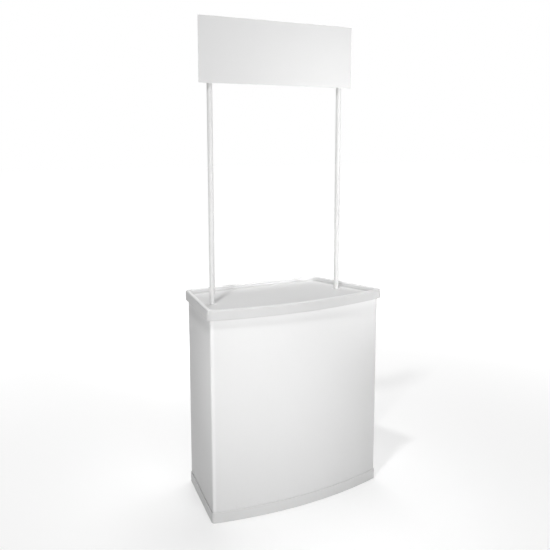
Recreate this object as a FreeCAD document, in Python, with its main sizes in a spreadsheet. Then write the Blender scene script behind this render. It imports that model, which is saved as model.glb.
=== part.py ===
"""Exhibition counter: a moulded tray top on a curved sheet body, with a header board on two poles.

Millimetres. X runs to the right as a visitor sees it, Y to the back, Z up. The origin is on the floor,
under the middle of the counter.
"""
import FreeCAD, Part
import math
import operator
import os
import Sketcher

doc = FreeCAD.newDocument("exhibition_counter")
sheet = doc.addObject("Spreadsheet::Sheet", "sizes")

ARITHMETIC = {"+": operator.add, "-": operator.sub, "*": operator.mul, "/": operator.truediv}


class Size:
    """A length known both as a number and as the sheet formula that gives it."""

    def __init__(self, value, formula):
        self.value = value
        self.formula = formula

    def join(self, other, sign, turned=False):
        other = other if isinstance(other, Size) else Size(float(other), repr(float(other)))
        left, right = (other, self) if turned else (self, other)
        result = ARITHMETIC[sign](left.value, right.value)
        return Size(result, f"({left.formula} {sign} {right.formula})")

    def __add__(self, other):
        return self.join(other, "+")

    def __radd__(self, other):
        return self.join(other, "+", turned=True)

    def __sub__(self, other):
        return self.join(other, "-")

    def __rsub__(self, other):
        return self.join(other, "-", turned=True)

    def __mul__(self, other):
        return self.join(other, "*")

    def __rmul__(self, other):
        return self.join(other, "*", turned=True)

    def __truediv__(self, other):
        return self.join(other, "/")

    def __neg__(self):
        return self.join(-1.0, "*")

    def root(self):
        return Size(math.sqrt(self.value), f"sqrt({self.formula})")


rows_used = 0


def write_cell(alias, text):
    """Put one value in the next row of the sheet and name it."""
    global rows_used
    rows_used += 1
    sheet.set(f"A{rows_used}", alias)
    sheet.set(f"B{rows_used}", text)
    sheet.setAlias(f"B{rows_used}", alias)


def size(alias, number):
    """A driving size: a plain number in the sheet."""
    write_cell(alias, str(number))
    return Size(float(number), f"sizes.{alias}")


def derived(alias, amount):
    """A size that follows from others: a formula in the sheet."""
    write_cell(alias, "=" + amount.formula.replace("sizes.", ""))
    return Size(amount.value, f"sizes.{alias}")


# Plan of the body sheet, measured on its outer face
body_front_width = size("body_front_width", 812)
body_back_width = size("body_back_width", 641)
body_side_depth = size("body_side_depth", 395)
body_front_bow = size("body_front_bow", 52)
fold_radius = size("fold_radius", 9)
sheet_thickness = size("sheet_thickness", 2)
return_width = size("return_width", 36)

# Base tray
pad_height = size("pad_height", 3)
pad_radius = size("pad_radius", 11)
pad_inset = size("pad_inset", 18)
base_height = size("base_height", 45)
base_wall = size("base_wall", 3)
base_groove_floor = size("base_groove_floor", 5)
base_floor = size("base_floor", 4)
base_hollow = size("base_hollow", 6)
base_sole_width = size("base_sole_width", 34)
basin_corner = size("basin_corner", 8)
sole_corner = size("sole_corner", 20)
groove_clearance = size("groove_clearance", 0.6)
socket_wall = size("socket_wall", 5)

# Tray top
counter_height = size("counter_height", 882)
tray_overhang = size("tray_overhang", 13.5)
tray_skirt = size("tray_skirt", 40)
tray_wall = size("tray_wall", 3)
tray_rim_width = size("tray_rim_width", 19.5)
tray_rim_round = size("tray_rim_round", 5)
tray_recess_depth = size("tray_recess_depth", 21)
tray_foot_round = size("tray_foot_round", 7)
tray_corner = size("tray_corner", 22)
tray_back_corner = size("tray_back_corner", 35)
recess_corner = size("recess_corner", 26)
rib_height = size("rib_height", 13)
rib_thickness = size("rib_thickness", 2.5)
rib_pitch = size("rib_pitch", 92)
rib_count = 5
boss_length = size("boss_length", 30)
boss_wall = size("boss_wall", 3.5)

# Posts, poles and what sits on them
pole_diameter = size("pole_diameter", 22)
pole_wall = size("pole_wall", 1.5)
pole_inset = size("pole_inset", 58.1)
pole_back = size("pole_back", 8)
slip_clearance = size("slip_clearance", 0.3)
bush_wall = size("bush_wall", 2.3)
bush_flange_width = size("bush_flange_width", 5.5)
bush_flange_thickness = size("bush_flange_thickness", 1.5)
post_below_tray = size("post_below_tray", 6)
spigot_in_post = size("spigot_in_post", 38)
spigot_in_pole = size("spigot_in_pole", 34)
spigot_lead = size("spigot_lead", 3)
cap_thickness = size("cap_thickness", 2)
cap_plug = size("cap_plug", 14)

# Shelf and its collars
shelf_height = size("shelf_height", 455)
shelf_depth = size("shelf_depth", 18)
shelf_wall = size("shelf_wall", 3)
shelf_gap = size("shelf_gap", 4)
shelf_corner = size("shelf_corner", 14)
shelf_edge_round = size("shelf_edge_round", 2)
collar_wall = size("collar_wall", 5)
collar_height = size("collar_height", 12)
collar_slit = size("collar_slit", 2)
collar_ear_width = size("collar_ear_width", 7)
collar_ear_length = size("collar_ear_length", 11)
screw_diameter = size("screw_diameter", 4)
screw_head_diameter = size("screw_head_diameter", 7)
screw_head_height = size("screw_head_height", 3.5)

# Header board and its clips
total_height = size("total_height", 2000)
header_overhang = size("header_overhang", 53)
header_height = size("header_height", 254)
header_thickness = size("header_thickness", 2.5)
tape_thickness = size("tape_thickness", 0.8)
clip_wall = size("clip_wall", 2)
clip_height = size("clip_height", 30)
clip_plate_width = size("clip_plate_width", 36)
clip_mouth = size("clip_mouth", 17)
clip_inset = size("clip_inset", 48)
pole_below_top = size("pole_below_top", 15)

# Push rivets at the back of the base
rivet_diameter = size("rivet_diameter", 6)
rivet_head_diameter = size("rivet_head_diameter", 11)
rivet_head_height = size("rivet_head_height", 2)
rivet_tail_height = size("rivet_tail_height", 2.5)
rivet_tail_diameter = size("rivet_tail_diameter", 8)
rivet_spacing = size("rivet_spacing", 14)

# What follows from them
back_y = derived("back_y", (body_side_depth + body_front_bow) / 2)
fold_y = derived("fold_y", back_y - body_side_depth)
side_slope = derived("side_slope", (body_front_width - body_back_width) / 2 / body_side_depth)
side_secant = derived("side_secant", (1 + side_slope * side_slope).root())
half_chord = body_front_width / 2
bow_radius = derived("bow_radius", (half_chord * half_chord / body_front_bow + body_front_bow) / 2)
bow_centre_y = derived("bow_centre_y", fold_y - body_front_bow + bow_radius)
side_at_pole = body_front_width / 2 - side_slope * (pole_back - fold_y)
pole_side = derived("pole_side", side_at_pole - pole_inset)
header_half = derived("header_half", pole_side + header_overhang)
pole_radius = derived("pole_radius", pole_diameter / 2)
pole_bore_radius = derived("pole_bore_radius", pole_radius - pole_wall)
slip_radius = derived("slip_radius", pole_radius + slip_clearance)
base_floor_z = derived("base_floor_z", pad_height + base_hollow + base_floor)
base_top_z = derived("base_top_z", pad_height + base_height)
groove_z = derived("groove_z", pad_height + base_groove_floor)
tray_floor_z = derived("tray_floor_z", counter_height - tray_recess_depth)
tray_skirt_z = derived("tray_skirt_z", counter_height - tray_skirt)
tray_roof_z = derived("tray_roof_z", counter_height - tray_wall)
recess_offset = derived("recess_offset", tray_overhang - tray_rim_width)
post_top_z = derived("post_top_z", tray_floor_z - post_below_tray)
pole_top_z = derived("pole_top_z", total_height - pole_below_top)
header_bottom_z = derived("header_bottom_z", total_height - header_height)
clip_front_y = derived("clip_front_y", pole_back - slip_radius - clip_wall)
header_back_y = derived("header_back_y", clip_front_y - tape_thickness)


class Plan:
    """The counter's plan moved outwards by offset, with rounded corners.

    The plan has a bowed front, straight splayed sides and a straight back. The corners of the plan moved
    back in by the corner radius are the centres of the rounded corners. A front corner is where the moved
    side line meets the moved front arc. The back corners may have a radius of their own.
    """

    def __init__(self, name, offset, corner, back_corner=None):
        self.offset = offset
        self.corner = corner
        self.back_corner = corner if back_corner is None else back_corner
        inwards = offset - corner
        radius = bow_radius + inwards
        side_at_fold = body_front_width / 2 + inwards * side_secant
        side_at_centre = derived(f"{name}_side_x", side_at_fold - side_slope * (bow_centre_y - fold_y))
        square = side_secant * side_secant
        reach = (square * radius * radius - side_at_centre * side_at_centre).root()
        drop = derived(f"{name}_drop", (reach - side_slope * side_at_centre) / square)
        self.front_x = derived(f"{name}_front_x", side_at_centre + side_slope * drop)
        self.front_y = derived(f"{name}_front_y", bow_centre_y - drop)
        back_inwards = offset - self.back_corner
        back_side_at_fold = body_front_width / 2 + back_inwards * side_secant
        self.back_y = derived(f"{name}_back_y", back_y + back_inwards)
        self.back_x = derived(f"{name}_back_x", back_side_at_fold - side_slope * (self.back_y - fold_y))


# Outlines of the moulded pieces and of the sheet
base_offset = groove_clearance + base_wall
lip_offset = -sheet_thickness - groove_clearance
basin_offset = lip_offset - base_wall
sole_offset = base_offset - base_sole_width
shelf_offset = -sheet_thickness - shelf_gap
sheet_outside = Plan("sheet_outside", 0, fold_radius)
sheet_inside = Plan("sheet_inside", -sheet_thickness, fold_radius - sheet_thickness)
base_outside = Plan("base_outside", base_offset, fold_radius + base_offset)
groove_outside = Plan("groove_outside", groove_clearance, fold_radius + groove_clearance)
groove_inside = Plan("groove_inside", lip_offset, fold_radius + lip_offset)
basin_plan = Plan("basin_plan", basin_offset, basin_corner)
sole_plan = Plan("sole_plan", sole_offset, sole_corner)
shelf_outside = Plan("shelf_outside", shelf_offset, shelf_corner)
shelf_inside = Plan("shelf_inside", shelf_offset - shelf_wall, shelf_corner - shelf_wall)
tray_outside = Plan("tray_outside", tray_overhang, tray_corner, tray_back_corner)
skirt_inside = Plan("skirt_inside", tray_overhang - tray_wall, tray_corner - tray_wall,
                    tray_back_corner - tray_wall)
recess_outside = Plan("recess_outside", recess_offset + tray_wall, recess_corner + tray_wall)
recess_inside = Plan("recess_inside", recess_offset, recess_corner)
doc.recompute()


def new_body(label):
    """An empty body whose label names its file."""
    body = doc.addObject("PartDesign::Body", label)
    body.Label = label
    return body


def bind(target, path, amount):
    """Tie one property of an object to the sheet, or set it when it is a bare number."""
    if isinstance(amount, Size):
        target.setExpression(path, amount.formula)
    elif amount:
        target.setExpression(path, repr(float(amount)))


def new_sketch(body, role, height=0):
    """A sketch on one of the body's own planes, moved along the plane's normal by height."""
    sketch = body.newObject("Sketcher::SketchObject", f"{body.Name}_sketch")
    plane = [feature for feature in body.Origin.OriginFeatures if feature.Role == role][0]
    sketch.AttachmentSupport = [(plane, "")]
    sketch.MapMode = "FlatFace"
    bind(sketch, "AttachmentOffset.Base.z", height)
    return sketch


def number(amount):
    return amount.value if isinstance(amount, Size) else float(amount)


def fix(sketch, kind, places, amount):
    """Add one dimension to a sketch and tie it to the sheet."""
    index = sketch.addConstraint(Sketcher.Constraint(kind, *places, number(amount)))
    if isinstance(amount, Size):
        name = f"{kind.lower()}_{index}"
        sketch.renameConstraint(index, name)
        sketch.setExpression(f"Constraints.{name}", amount.formula)


def draw_loop(sketch, corners):
    """A closed loop of straight edges through the corners."""
    points = [FreeCAD.Vector(number(x), number(y), 0) for x, y in corners]
    count = len(points)
    first = sketch.GeometryCount
    for index, point in enumerate(points):
        sketch.addGeometry(Part.LineSegment(point, points[(index + 1) % count]), False)
    for index, (x, y) in enumerate(corners):
        following = first + (index + 1) % count
        sketch.addConstraint(Sketcher.Constraint("Coincident", first + index, 2, following, 1))
        fix(sketch, "DistanceX", (-1, 1, first + index, 1), x)
        fix(sketch, "DistanceY", (-1, 1, first + index, 1), y)


def draw_box(sketch, x_low, x_high, y_low, y_high):
    draw_loop(sketch, [(x_low, y_low), (x_high, y_low), (x_high, y_high), (x_low, y_high)])


def draw_circle(sketch, x, y, radius):
    middle = FreeCAD.Vector(number(x), number(y), 0)
    circle = sketch.addGeometry(Part.Circle(middle, FreeCAD.Vector(0, 0, 1), number(radius)), False)
    fix(sketch, "Radius", (circle,), radius)
    fix(sketch, "DistanceX", (-1, 1, circle, 3), x)
    fix(sketch, "DistanceY", (-1, 1, circle, 3), y)


def draw_plan(sketch, plan):
    """One of the counter's outlines: an arc, three lines and rounded corners, tangent all the way round."""
    radius = number(plan.corner)
    back_radius = number(plan.back_corner)
    bow_middle = FreeCAD.Vector(0, bow_centre_y.value, 0)
    side_out = FreeCAD.Vector(1, side_slope.value, 0).normalize()
    back_out = FreeCAD.Vector(0, 1, 0)

    def mirror(vector):
        return FreeCAD.Vector(-vector.x, vector.y, 0)

    def bend(centre, size, first_way, second_way):
        middle_way = (first_way + second_way).normalize()
        points = [centre + way * size for way in (first_way, middle_way, second_way)]
        return Part.Arc(*points)

    front_right = FreeCAD.Vector(plan.front_x.value, plan.front_y.value, 0)
    back_right = FreeCAD.Vector(plan.back_x.value, plan.back_y.value, 0)
    front_left = mirror(front_right)
    back_left = mirror(back_right)
    front_out = (front_right - bow_middle).normalize()
    apex = FreeCAD.Vector(0, bow_centre_y.value - bow_radius.value - number(plan.offset), 0)
    edges = [
        Part.Arc(front_left + mirror(front_out) * radius, apex, front_right + front_out * radius),
        bend(front_right, radius, front_out, side_out),
        Part.LineSegment(front_right + side_out * radius, back_right + side_out * back_radius),
        bend(back_right, back_radius, side_out, back_out),
        Part.LineSegment(back_right + back_out * back_radius, back_left + back_out * back_radius),
        bend(back_left, back_radius, back_out, mirror(side_out)),
        Part.LineSegment(back_left + mirror(side_out) * back_radius, front_left + mirror(side_out) * radius),
        bend(front_left, radius, mirror(side_out), mirror(front_out)),
    ]
    for edge in edges:
        sketch.addGeometry(edge, False)
    for index in range(len(edges)):
        sketch.addConstraint(Sketcher.Constraint("Tangent", index, 2, (index + 1) % len(edges), 1))
    bends = {
        1: (plan.front_x, plan.front_y, plan.corner),
        3: (plan.back_x, plan.back_y, plan.back_corner),
        5: (-plan.back_x, plan.back_y, plan.back_corner),
        7: (-plan.front_x, plan.front_y, plan.corner),
    }
    for index, (x, y, corner) in bends.items():
        fix(sketch, "DistanceX", (-1, 1, index, 3), x)
        fix(sketch, "DistanceY", (-1, 1, index, 3), y)
        fix(sketch, "Radius", (index,), corner)
    fix(sketch, "Radius", (0,), bow_radius + plan.offset)


def pad(body, sketch, length, turned=False):
    """Raise a sketch by length along its plane's normal, or the other way when turned."""
    feature = body.newObject("PartDesign::Pad", f"{body.Name}_pad")
    feature.Profile = sketch
    feature.Reversed = turned
    bind(feature, "Length", length)
    doc.recompute()
    return feature


def pocket(body, sketch, depth, turned=False):
    """Cut a sketch's area out of the body against its plane's normal, or along it when turned."""
    before = body.Shape.Volume
    feature = body.newObject("PartDesign::Pocket", f"{body.Name}_pocket")
    feature.Profile = sketch
    feature.Reversed = turned
    bind(feature, "Length", depth)
    doc.recompute()
    if body.Shape.Volume > before - 1e-6:
        raise RuntimeError(f"a cut in {body.Label} took nothing")
    return feature


def plan_block(body, plan, low, high):
    """A block in the shape of one of the counter's outlines, between two heights."""
    sketch = new_sketch(body, "XY_Plane", low)
    draw_plan(sketch, plan)
    return pad(body, sketch, high - low)


def plan_cut(body, plan, low, high):
    """A cut in the shape of one of the counter's outlines, between two heights."""
    sketch = new_sketch(body, "XY_Plane", low)
    draw_plan(sketch, plan)
    return pocket(body, sketch, high - low, turned=True)


def round_edges(body, wanted, radius):
    """Round those edges of the body's last feature that the test picks out."""
    base = body.Tip
    names = [f"Edge{index + 1}" for index, edge in enumerate(base.Shape.Edges) if wanted(edge)]
    feature = body.newObject("PartDesign::Fillet", f"{body.Name}_fillet")
    feature.Base = (base, names)
    bind(feature, "Radius", radius)
    doc.recompute()
    return feature


def level(edge, height):
    """Whether an edge lies flat at a height."""
    box = edge.BoundBox
    return abs(box.ZMin - number(height)) < 0.01 and abs(box.ZMax - number(height)) < 0.01


def turn(body, profile):
    """Turn a closed profile of (radius, height) corners about the body's own upright axis."""
    sketch = new_sketch(body, "XZ_Plane")
    draw_loop(sketch, profile)
    feature = body.newObject("PartDesign::Revolution", f"{body.Name}_turned")
    feature.Profile = sketch
    feature.ReferenceAxis = (sketch, ["V_Axis"])
    feature.Angle = 360
    doc.recompute()
    return feature


def place(body, x, y, z):
    """Stand a body that was modelled about its own axis at its place in the counter."""
    bind(body, "Placement.Base.x", x)
    bind(body, "Placement.Base.y", y)
    bind(body, "Placement.Base.z", z)
    doc.recompute()


sides = {"left": -1, "right": 1}


def cross_ribs(body, under_z, height, offset):
    """A row of ribs under a moulded board, each from the bowed front to the back of a moved outline."""
    sketch = new_sketch(body, "XY_Plane", under_z)
    bow = bow_radius + offset
    for step in range(rib_count):
        rib_x = rib_pitch * (step - (rib_count - 1) / 2)
        rib_front = bow_centre_y - (bow * bow - rib_x * rib_x).root()
        draw_box(sketch, rib_x - rib_thickness / 2, rib_x + rib_thickness / 2, rib_front, back_y + offset)
    pad(body, sketch, height, turned=True)


# Body sheet: one sheet folded round the counter, with short returns beside the open back
body_sheet = new_body("body_sheet")
plan_block(body_sheet, sheet_outside, groove_z, tray_roof_z)
plan_cut(body_sheet, sheet_inside, groove_z, tray_roof_z)
gap_sketch = new_sketch(body_sheet, "XY_Plane", groove_z)
gap_half = body_back_width / 2 - return_width
draw_box(gap_sketch, -gap_half, gap_half, back_y - 2 * sheet_thickness, back_y + sheet_thickness)
pocket(body_sheet, gap_sketch, tray_roof_z - groove_z, turned=True)

# Base tray: a sole, a groove for the body sheet, an open basin and two sockets for the posts
base_tray = new_body("base_tray")
plan_block(base_tray, base_outside, pad_height, base_top_z)
plan_cut(base_tray, groove_outside, groove_z, base_top_z)
plan_block(base_tray, groove_inside, groove_z, base_top_z)
plan_cut(base_tray, basin_plan, base_floor_z, base_top_z)
plan_cut(base_tray, sole_plan, pad_height, pad_height + base_hollow)
socket_sketch = new_sketch(base_tray, "XY_Plane", base_floor_z)
bore_sketch = new_sketch(base_tray, "XY_Plane", base_floor_z)
for side in sides.values():
    draw_circle(socket_sketch, side * pole_side, pole_back, slip_radius + socket_wall)
    draw_circle(bore_sketch, side * pole_side, pole_back, slip_radius)
pad(base_tray, socket_sketch, base_top_z - base_floor_z)
pocket(base_tray, bore_sketch, base_top_z - base_floor_z, turned=True)
cross_ribs(base_tray, pad_height + base_hollow, base_hollow, sole_offset + base_wall)

# Push rivets: two at each return, through the groove's outer wall, the sheet and the groove's inner wall
rivet_x = gap_half + (return_width - fold_radius) / 2
rivet_z = groove_z + (base_top_z - groove_z) / 2
base_back_y = back_y + base_offset
lip_back_y = back_y + basin_offset


def draw_rivets(sketch, radius):
    """Four circles, two on each return of the body sheet."""
    for side in sides.values():
        for step in (-1, 1):
            draw_circle(sketch, side * (rivet_x + step * rivet_spacing / 2), rivet_z, radius)


for drilled in (body_sheet, base_tray):
    hole_sketch = new_sketch(drilled, "XZ_Plane", -base_back_y)
    draw_rivets(hole_sketch, rivet_diameter / 2 + slip_clearance)
    pocket(drilled, hole_sketch, base_back_y - lip_back_y, turned=True)

base_rivets = new_body("base_rivets")
shank_sketch = new_sketch(base_rivets, "XZ_Plane", -base_back_y)
draw_rivets(shank_sketch, rivet_diameter / 2)
pad(base_rivets, shank_sketch, base_back_y - lip_back_y)
head_sketch = new_sketch(base_rivets, "XZ_Plane", -base_back_y)
draw_rivets(head_sketch, rivet_head_diameter / 2)
pad(base_rivets, head_sketch, rivet_head_height, turned=True)
tail_sketch = new_sketch(base_rivets, "XZ_Plane", -lip_back_y)
draw_rivets(tail_sketch, rivet_tail_diameter / 2)
pad(base_rivets, tail_sketch, rivet_tail_height)

# Foot pads: six soft discs under the sole, at the corners and at the middle of the front and the back
foot_pads = new_body("foot_pads")
front_pad_x = body_front_width / 2 - pad_inset - pad_radius
pad_sketch = new_sketch(foot_pads, "XY_Plane")
for side in sides.values():
    draw_circle(pad_sketch, side * front_pad_x, fold_y + pad_radius, pad_radius)
    draw_circle(pad_sketch, side * (body_back_width / 2 - pad_inset), back_y - pad_inset, pad_radius)
draw_circle(pad_sketch, 0, fold_y - body_front_bow + pad_inset, pad_radius)
draw_circle(pad_sketch, 0, back_y - pad_inset, pad_radius)
pad(foot_pads, pad_sketch, pad_height)

# Shelf: a flat board with a turned-down rim, threaded on the posts
shelf = new_body("shelf")
shelf_bottom_z = shelf_height - shelf_depth
plan_block(shelf, shelf_outside, shelf_bottom_z, shelf_height)
round_edges(shelf, lambda edge: level(edge, shelf_height), shelf_edge_round)
plan_cut(shelf, shelf_inside, shelf_bottom_z, shelf_height - shelf_wall)
cross_ribs(shelf, shelf_height - shelf_wall, shelf_depth - 2 * shelf_wall, shelf_offset - shelf_wall / 2)
shelf_boss = new_sketch(shelf, "XY_Plane", shelf_bottom_z)
shelf_bore = new_sketch(shelf, "XY_Plane", shelf_bottom_z)
for side in sides.values():
    draw_circle(shelf_boss, side * pole_side, pole_back, slip_radius + collar_wall)
    draw_circle(shelf_bore, side * pole_side, pole_back, slip_radius)
pad(shelf, shelf_boss, shelf_depth - shelf_wall)
pocket(shelf, shelf_bore, shelf_depth, turned=True)

# Tray: a raised rim that hangs over the body sheet, a recessed floor, ribs and bosses under it
tray = new_body("tray")
bush_radius = slip_radius + bush_wall
boss_bore = bush_radius + slip_clearance
flange_radius = boss_bore + bush_flange_width
flange_z = tray_floor_z - bush_flange_thickness
floor_under_z = tray_floor_z - tray_wall
plan_block(tray, tray_outside, tray_skirt_z, counter_height)
round_edges(tray, lambda edge: level(edge, counter_height), tray_rim_round)
plan_cut(tray, skirt_inside, tray_skirt_z, tray_roof_z)
plan_block(tray, recess_outside, floor_under_z, tray_roof_z)
rim_top = [edge.CenterOfMass for edge in tray.Shape.Edges if level(edge, counter_height)]
plan_cut(tray, recess_inside, tray_floor_z, counter_height)


def inner_rim(edge):
    """The rim's inner edge: level with its top, and not there before the recess was cut."""
    is_new = all(edge.CenterOfMass.distanceToPoint(point) > 0.5 for point in rim_top)
    return is_new and level(edge, counter_height)


round_edges(tray, inner_rim, tray_rim_round)
round_edges(tray, lambda edge: level(edge, tray_floor_z), tray_foot_round)
cross_ribs(tray, floor_under_z, rib_height, recess_offset - tray_foot_round)
long_rib = new_sketch(tray, "XY_Plane", floor_under_z)
rib_half = rib_thickness / 2
draw_box(long_rib, -gap_half, gap_half, pole_back - rib_half, pole_back + rib_half)
pad(tray, long_rib, rib_height, turned=True)
boss_sketch = new_sketch(tray, "XY_Plane", floor_under_z)
boss_hole = new_sketch(tray, "XY_Plane", floor_under_z - boss_length)
flange_seat = new_sketch(tray, "XY_Plane", flange_z)
for side in sides.values():
    draw_circle(flange_seat, side * pole_side, pole_back, flange_radius + slip_clearance)
    draw_circle(boss_sketch, side * pole_side, pole_back, boss_bore + boss_wall)
    draw_circle(boss_hole, side * pole_side, pole_back, boss_bore)
pad(tray, boss_sketch, boss_length, turned=True)
pocket(tray, boss_hole, boss_length + tray_wall, turned=True)
pocket(tray, flange_seat, bush_flange_thickness, turned=True)

# Header board: a plain flat board in front of the poles
header_board = new_body("header_board")
board_sketch = new_sketch(header_board, "XZ_Plane", -header_back_y)
draw_box(board_sketch, -header_half, header_half, header_bottom_z, total_height)
pad(header_board, board_sketch, header_thickness)

# Tape pads between the clips and the board
clip_heights = {"lower": header_bottom_z + clip_inset, "upper": total_height - clip_inset}
clip_tapes = new_body("clip_tapes")
tape_sketch = new_sketch(clip_tapes, "XZ_Plane", -clip_front_y)
for side in sides.values():
    for clip_z in clip_heights.values():
        pole_x = side * pole_side
        draw_box(tape_sketch, pole_x - clip_plate_width / 2, pole_x + clip_plate_width / 2,
                 clip_z - clip_height / 2, clip_z + clip_height / 2)
pad(clip_tapes, tape_sketch, tape_thickness)

# Clamp screws: one across the ears of each shelf collar
ear_half = collar_slit / 2 + collar_ear_width
ear_screw_y = pole_back + slip_radius + collar_wall + collar_ear_length / 2
collar_z = shelf_bottom_z - collar_height
screw_z = shelf_bottom_z - collar_height / 2
collar_screws = new_body("collar_screws")
for side in sides.values():
    ear_x = side * pole_side + ear_half
    screw_shank = new_sketch(collar_screws, "YZ_Plane", ear_x)
    draw_circle(screw_shank, ear_screw_y, screw_z, screw_diameter / 2)
    pad(collar_screws, screw_shank, 2 * ear_half, turned=True)
    screw_head = new_sketch(collar_screws, "YZ_Plane", ear_x)
    draw_circle(screw_head, ear_screw_y, screw_z, screw_head_diameter / 2)
    pad(collar_screws, screw_head, screw_head_height)

nodes = [body_sheet, base_tray, base_rivets, foot_pads, shelf, tray]
nodes += [header_board, clip_tapes, collar_screws]

for side_name, side in sides.items():
    pole_x = side * pole_side

    # Post: a plain tube from its socket in the base to just under the tray's floor
    post = new_body(f"post_{side_name}")
    post_ring = new_sketch(post, "XY_Plane")
    draw_circle(post_ring, 0, 0, pole_radius)
    draw_circle(post_ring, 0, 0, pole_bore_radius)
    pad(post, post_ring, post_top_z - base_floor_z)
    place(post, pole_x, pole_back, base_floor_z)

    # Shelf collar: a split ring with two ears, clamped on the post under the shelf
    collar = new_body(f"shelf_collar_{side_name}")
    collar_ring = new_sketch(collar, "XY_Plane")
    draw_circle(collar_ring, 0, 0, slip_radius + collar_wall)
    pad(collar, collar_ring, collar_height)
    ear_sketch = new_sketch(collar, "XY_Plane")
    draw_box(ear_sketch, -ear_half, ear_half, slip_radius, slip_radius + collar_wall + collar_ear_length)
    pad(collar, ear_sketch, collar_height)
    collar_bore = new_sketch(collar, "XY_Plane")
    draw_circle(collar_bore, 0, 0, slip_radius)
    pocket(collar, collar_bore, collar_height, turned=True)
    slit_sketch = new_sketch(collar, "XY_Plane")
    slit_end = slip_radius + collar_wall + 2 * collar_ear_length
    draw_box(slit_sketch, -collar_slit / 2, collar_slit / 2, pole_bore_radius, slit_end)
    pocket(collar, slit_sketch, collar_height, turned=True)
    screw_hole = new_sketch(collar, "YZ_Plane", 2 * ear_half)
    draw_circle(screw_hole, ear_screw_y - pole_back, collar_height / 2, screw_diameter / 2 + slip_clearance)
    pocket(collar, screw_hole, 4 * ear_half)
    place(collar, pole_x, pole_back, collar_z)

    # Bush: a sleeve in the tray's boss that guides the pole, with its flange let into the tray's floor
    bush = new_body(f"pole_bush_{side_name}")
    bush_foot = floor_under_z - boss_length - flange_z
    sleeve = [(slip_radius, bush_foot), (bush_radius, bush_foot), (bush_radius, 0), (flange_radius, 0)]
    flange_top = [(flange_radius, bush_flange_thickness), (slip_radius, bush_flange_thickness)]
    turn(bush, sleeve + flange_top)
    place(bush, pole_x, pole_back, flange_z)

    # Pole: a plain tube that stands on the post and carries the header
    pole = new_body(f"pole_{side_name}")
    pole_ring = new_sketch(pole, "XY_Plane")
    draw_circle(pole_ring, 0, 0, pole_radius)
    draw_circle(pole_ring, 0, 0, pole_bore_radius)
    pad(pole, pole_ring, pole_top_z - post_top_z)
    place(pole, pole_x, pole_back, post_top_z)

    # Spigot: a plug in the pole's lower end that drops into the post
    spigot = new_body(f"pole_spigot_{side_name}")
    spigot_radius = pole_bore_radius - slip_clearance
    tip_radius = spigot_radius - spigot_lead
    spigot_tip = [(0, -spigot_in_post), (tip_radius, -spigot_in_post)]
    spigot_side = [(spigot_radius, spigot_lead - spigot_in_post), (spigot_radius, spigot_in_pole)]
    turn(spigot, spigot_tip + spigot_side + [(0, spigot_in_pole)])
    place(spigot, pole_x, pole_back, post_top_z)

    # Cap: a plug with a flat head in the pole's upper end
    cap = new_body(f"pole_cap_{side_name}")
    turn(cap, [(0, -cap_plug), (spigot_radius, -cap_plug), (spigot_radius, 0), (pole_radius, 0),
               (pole_radius, cap_thickness), (0, cap_thickness)])
    place(cap, pole_x, pole_back, pole_top_z)
    nodes += [post, collar, bush, pole, spigot, cap]

    # Clips: open rings with a flat plate behind the board, snapped on the pole from the front
    for level_name, clip_z in clip_heights.items():
        clip = new_body(f"header_clip_{side_name}_{level_name}")
        ring_sketch = new_sketch(clip, "XY_Plane")
        draw_circle(ring_sketch, 0, 0, slip_radius + clip_wall)
        pad(clip, ring_sketch, clip_height)
        plate_sketch = new_sketch(clip, "XY_Plane")
        plate_half = clip_plate_width / 2
        draw_box(plate_sketch, -plate_half, plate_half, -slip_radius - clip_wall, clip_wall - slip_radius)
        pad(clip, plate_sketch, clip_height)
        clip_bore = new_sketch(clip, "XY_Plane")
        draw_circle(clip_bore, 0, 0, slip_radius)
        pocket(clip, clip_bore, clip_height, turned=True)
        mouth_sketch = new_sketch(clip, "XY_Plane")
        draw_box(mouth_sketch, -clip_mouth / 2, clip_mouth / 2, 0, slip_radius + 2 * clip_wall)
        pocket(clip, mouth_sketch, clip_height, turned=True)
        place(clip, pole_x, pole_back, clip_z - clip_height / 2)
        nodes.append(clip)

doc.recompute()
for item in doc.Objects:
    if "Invalid" in item.State or "Error" in item.State:
        raise RuntimeError(f"{item.Name} failed: {item.State}")
for node in nodes:
    if node.Shape.isNull() or not node.Shape.isValid():
        raise RuntimeError(f"{node.Label} has no valid shape")

os.makedirs("parts", exist_ok=True)
for node in nodes:
    node.Shape.exportStep(f"parts/{node.Label}.step")
    print(f"{node.Label}: {len(node.Shape.Solids)} solids, {node.Shape.Volume / 1000:.1f} cm3")
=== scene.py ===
import math

import bpy
import numpy as np
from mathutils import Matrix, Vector
from mathutils.geometry import delaunay_2d_cdt


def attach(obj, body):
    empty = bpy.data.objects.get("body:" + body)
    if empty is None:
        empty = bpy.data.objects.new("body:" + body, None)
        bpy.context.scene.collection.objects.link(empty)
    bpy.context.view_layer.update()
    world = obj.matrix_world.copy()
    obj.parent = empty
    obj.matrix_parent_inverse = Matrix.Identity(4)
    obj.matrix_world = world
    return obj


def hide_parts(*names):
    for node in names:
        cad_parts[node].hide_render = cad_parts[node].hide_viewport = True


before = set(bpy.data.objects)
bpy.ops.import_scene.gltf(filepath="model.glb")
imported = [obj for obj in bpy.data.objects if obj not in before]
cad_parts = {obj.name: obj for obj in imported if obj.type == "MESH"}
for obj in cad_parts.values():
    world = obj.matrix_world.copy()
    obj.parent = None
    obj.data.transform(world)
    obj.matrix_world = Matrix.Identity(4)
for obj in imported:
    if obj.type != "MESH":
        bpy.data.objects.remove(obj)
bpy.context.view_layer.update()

# Foot pads: six soft discs that keep the base off the floor. They are punched from grey rubber sheet with a
# broken lower edge, and glued under the base tray.
mm = 0.001
pad_radius = 11 * mm
pad_height = 3 * mm
pad_edge = 0.7 * mm
pad_dust_high = 1.6 * mm
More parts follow.
